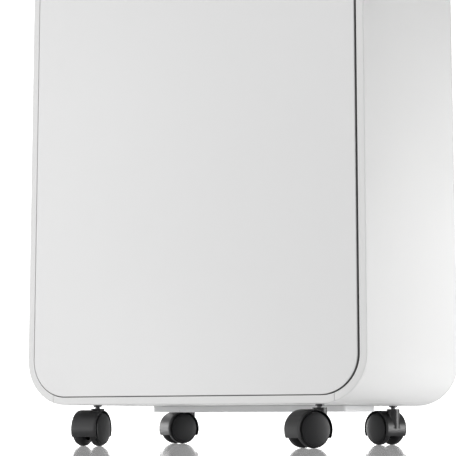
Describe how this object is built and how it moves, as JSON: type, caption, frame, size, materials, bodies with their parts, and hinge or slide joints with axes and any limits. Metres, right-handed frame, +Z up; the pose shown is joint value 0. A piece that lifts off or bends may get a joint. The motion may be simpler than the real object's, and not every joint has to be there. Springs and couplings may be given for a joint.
{
  "type": "dehumidifier",
  "caption": "Upright compressor dehumidifier: white rounded case with inset front panel, top controls and outlet flap, rear intake and pull-out tank, on black twin-wheel casters.",
  "frame": {"origin": "on the floor, under the middle of the casing", "axes": "+Z up, -Y towards the front panel, +X to the right of someone facing the front"},
  "size_m": [0.392, 0.268, 0.616],
  "materials": {
    "white_shell": "glossy white moulded shell",
    "white_panel": "glossy white panel",
    "white_satin": "satin white plastic",
    "pale_tray": "pale grey plastic",
    "pale_grey": "pale grey satin plastic",
    "black_gloss": "black gloss fascia",
    "display_lens": "smoked display lens",
    "button_grey": "grey satin buttons",
    "black_satin": "black satin plastic",
    "caster_black": "black satin nylon hood",
    "wheel_black": "black satin nylon wheel",
    "stem_steel": "bright steel",
    "screw_steel": "zinc-plated steel",
    "filter_mesh": "dark nylon filter net",
    "tank_clear": "smoky translucent plastic",
    "float_foam": "closed-cell foam",
    "coil_aluminium": "aluminium fins",
    "motor_steel": "plated steel motor",
    "compressor_paint": "black enamelled steel",
    "pipe_copper": "copper tube",
    "circuit_green": "green circuit board"
  },
  "bodies": {
    "casing": {"left_side_shell": "white_shell", "right_side_shell": "white_shell", "front_panel": "white_panel", "top_cover": "white_shell", "base_pan": "white_satin", "undertray": "pale_tray", "rear_cover": "white_satin", "left_grip_cup": "pale_grey", "right_grip_cup": "pale_grey", "control_fascia": "black_gloss", "display_window": "display_lens", "outlet_grille": "white_satin", "cord_gland": "black_satin", "drain_spigot": "pale_grey", "left_rear_screw": "screw_steel", "right_rear_screw": "screw_steel", "deck": "white_satin", "drip_tray": "white_satin", "evaporator": "coil_aluminium", "condenser": "coil_aluminium", "fan_scroll": "white_satin", "fan_motor": "motor_steel", "compressor": "compressor_paint", "refrigerant_pipe": "pipe_copper", "circuit_board": "circuit_green", "front_left_caster_stem": "stem_steel", "front_right_caster_stem": "stem_steel", "rear_left_caster_stem": "stem_steel", "rear_right_caster_stem": "stem_steel"},
    "outlet_flap": {"louvre_flap": "white_panel"},
    "tank": {"water_tank": "tank_clear", "tank_lid": "white_satin"},
    "tank_bail": {"tank_handle": "white_satin"},
    "tank_float_arm": {"tank_float": "float_foam"},
    "rear_intake": {"intake_grille": "white_satin", "air_filter": "filter_mesh"},
    "drain_plug": {"drain_cap": "black_satin"},
    "fan_wheel": {"fan_impeller": "black_satin"},
    "button_power_key": {"button_power": "button_grey"},
    "button_mode_key": {"button_mode": "button_grey"},
    "button_humidity_down_key": {"button_humidity_down": "button_grey"},
    "button_humidity_up_key": {"button_humidity_up": "button_grey"},
    "button_fan_speed_key": {"button_fan_speed": "button_grey"},
    "button_timer_key": {"button_timer": "button_grey"},
    "front_left_caster": {"front_left_caster_hood": "caster_black", "front_left_caster_axle": "stem_steel"},
    "front_left_wheel_a": {"front_left_caster_wheel_a": "wheel_black"},
    "front_left_wheel_b": {"front_left_caster_wheel_b": "wheel_black"},
    "front_right_caster": {"front_right_caster_hood": "caster_black", "front_right_caster_axle": "stem_steel"},
    "front_right_wheel_a": {"front_right_caster_wheel_a": "wheel_black"},
    "front_right_wheel_b": {"front_right_caster_wheel_b": "wheel_black"},
    "rear_left_caster": {"rear_left_caster_hood": "caster_black", "rear_left_caster_axle": "stem_steel"},
    "rear_left_wheel_a": {"rear_left_caster_wheel_a": "wheel_black"},
    "rear_left_wheel_b": {"rear_left_caster_wheel_b": "wheel_black"},
    "rear_right_caster": {"rear_right_caster_hood": "caster_black", "rear_right_caster_axle": "stem_steel"},
    "rear_right_wheel_a": {"rear_right_caster_wheel_a": "wheel_black"},
    "rear_right_wheel_b": {"rear_right_caster_wheel_b": "wheel_black"}
  },
  "joints": [
    {"name": "front_left_swivel", "type": "hinge", "parent": "casing", "child": "front_left_caster", "pos_m": [-0.13, -0.0975, 0.0396], "axis": [0, 0, 1], "continuous": true},
    {"name": "front_left_wheel_a_spin", "type": "hinge", "parent": "front_left_caster", "child": "front_left_wheel_a", "pos_m": [-0.12859, -0.11093, 0.018], "axis": [-0.9945, -0.1045, 0], "continuous": true},
    {"name": "front_left_wheel_b_spin", "type": "hinge", "parent": "front_left_caster", "child": "front_left_wheel_b", "pos_m": [-0.12859, -0.11093, 0.018], "axis": [-0.9945, -0.1045, 0], "continuous": true},
    {"name": "front_right_swivel", "type": "hinge", "parent": "casing", "child": "front_right_caster", "pos_m": [0.13, -0.0975, 0.0396], "axis": [0, 0, 1], "continuous": true},
    {"name": "front_right_wheel_a_spin", "type": "hinge", "parent": "front_right_caster", "child": "front_right_wheel_a", "pos_m": [0.12265, -0.10882, 0.018], "axis": [-0.8387, 0.5446, 0], "continuous": true},
    {"name": "front_right_wheel_b_spin", "type": "hinge", "parent": "front_right_caster", "child": "front_right_wheel_b", "pos_m": [0.12265, -0.10882, 0.018], "axis": [-0.8387, 0.5446, 0], "continuous": true},
    {"name": "rear_left_swivel", "type": "hinge", "parent": "casing", "child": "rear_left_caster", "pos_m": [-0.13, 0.102, 0.0396], "axis": [0, 0, 1], "continuous": true},
    {"name": "rear_left_wheel_a_spin", "type": "hinge", "parent": "rear_left_caster", "child": "rear_left_wheel_a", "pos_m": [-0.13735, 0.09068, 0.018], "axis": [-0.8387, 0.5446, 0], "continuous": true},
    {"name": "rear_left_wheel_b_spin", "type": "hinge", "parent": "rear_left_caster", "child": "rear_left_wheel_b", "pos_m": [-0.13735, 0.09068, 0.018], "axis": [-0.8387, 0.5446, 0], "continuous": true},
    {"name": "rear_right_swivel", "type": "hinge", "parent": "casing", "child": "rear_right_caster", "pos_m": [0.13, 0.102, 0.0396], "axis": [0, 0, 1], "continuous": true},
    {"name": "rear_right_wheel_a_spin", "type": "hinge", "parent": "rear_right_caster", "child": "rear_right_wheel_a", "pos_m": [0.11808, 0.10834, 0.018], "axis": [0.4695, 0.8829, 0], "continuous": true},
    {"name": "rear_right_wheel_b_spin", "type": "hinge", "parent": "rear_right_caster", "child": "rear_right_wheel_b", "pos_m": [0.11808, 0.10834, 0.018], "axis": [0.4695, 0.8829, 0], "continuous": true},
    {"name": "flap_hinge", "type": "hinge", "parent": "casing", "child": "outlet_flap", "pos_m": [0, 0.0418, 0.6138], "axis": [-1, 0, 0], "range_deg": [0, 80]},
    {"name": "tank_slide", "type": "slide", "parent": "casing", "child": "tank", "axis": [0, 1, 0], "range_m": [0, 0.16]},
    {"name": "tank_bail_hinge", "type": "hinge", "parent": "tank", "child": "tank_bail", "pos_m": [0, 0.06, 0.241], "axis": [-1, 0, 0], "range_deg": [0, 90]},
    {"name": "float_hinge", "type": "hinge", "parent": "tank", "child": "tank_float_arm", "pos_m": [-0.06, 0.003, 0.078], "axis": [1, 0, 0], "range_deg": [0, 28]},
    {"name": "intake_release", "type": "slide", "parent": "casing", "child": "rear_intake", "axis": [0, 1, 0], "range_m": [0, 0.06]},
    {"name": "drain_cap_pull", "type": "slide", "parent": "casing", "child": "drain_plug", "axis": [0, 1, 0], "range_m": [0, 0.03]},
    {"name": "fan_spin", "type": "hinge", "parent": "casing", "child": "fan_wheel", "pos_m": [0, 0, 0.44], "axis": [0, 1, 0], "continuous": true},
    {"name": "button_power_press", "type": "slide", "parent": "casing", "child": "button_power_key", "axis": [0, 0, -1], "range_m": [0, 0.0015], "stiffness_N_per_m": 400},
    {"name": "button_mode_press", "type": "slide", "parent": "casing", "child": "button_mode_key", "axis": [0, 0, -1], "range_m": [0, 0.0015], "stiffness_N_per_m": 400},
    {"name": "button_humidity_down_press", "type": "slide", "parent": "casing", "child": "button_humidity_down_key", "axis": [0, 0, -1], "range_m": [0, 0.0015], "stiffness_N_per_m": 400},
    {"name": "button_humidity_up_press", "type": "slide", "parent": "casing", "child": "button_humidity_up_key", "axis": [0, 0, -1], "range_m": [0, 0.0015], "stiffness_N_per_m": 400},
    {"name": "button_fan_speed_press", "type": "slide", "parent": "casing", "child": "button_fan_speed_key", "axis": [0, 0, -1], "range_m": [0, 0.0015], "stiffness_N_per_m": 400},
    {"name": "button_timer_press", "type": "slide", "parent": "casing", "child": "button_timer_key", "axis": [0, 0, -1], "range_m": [0, 0.0015], "stiffness_N_per_m": 400}
  ]
}
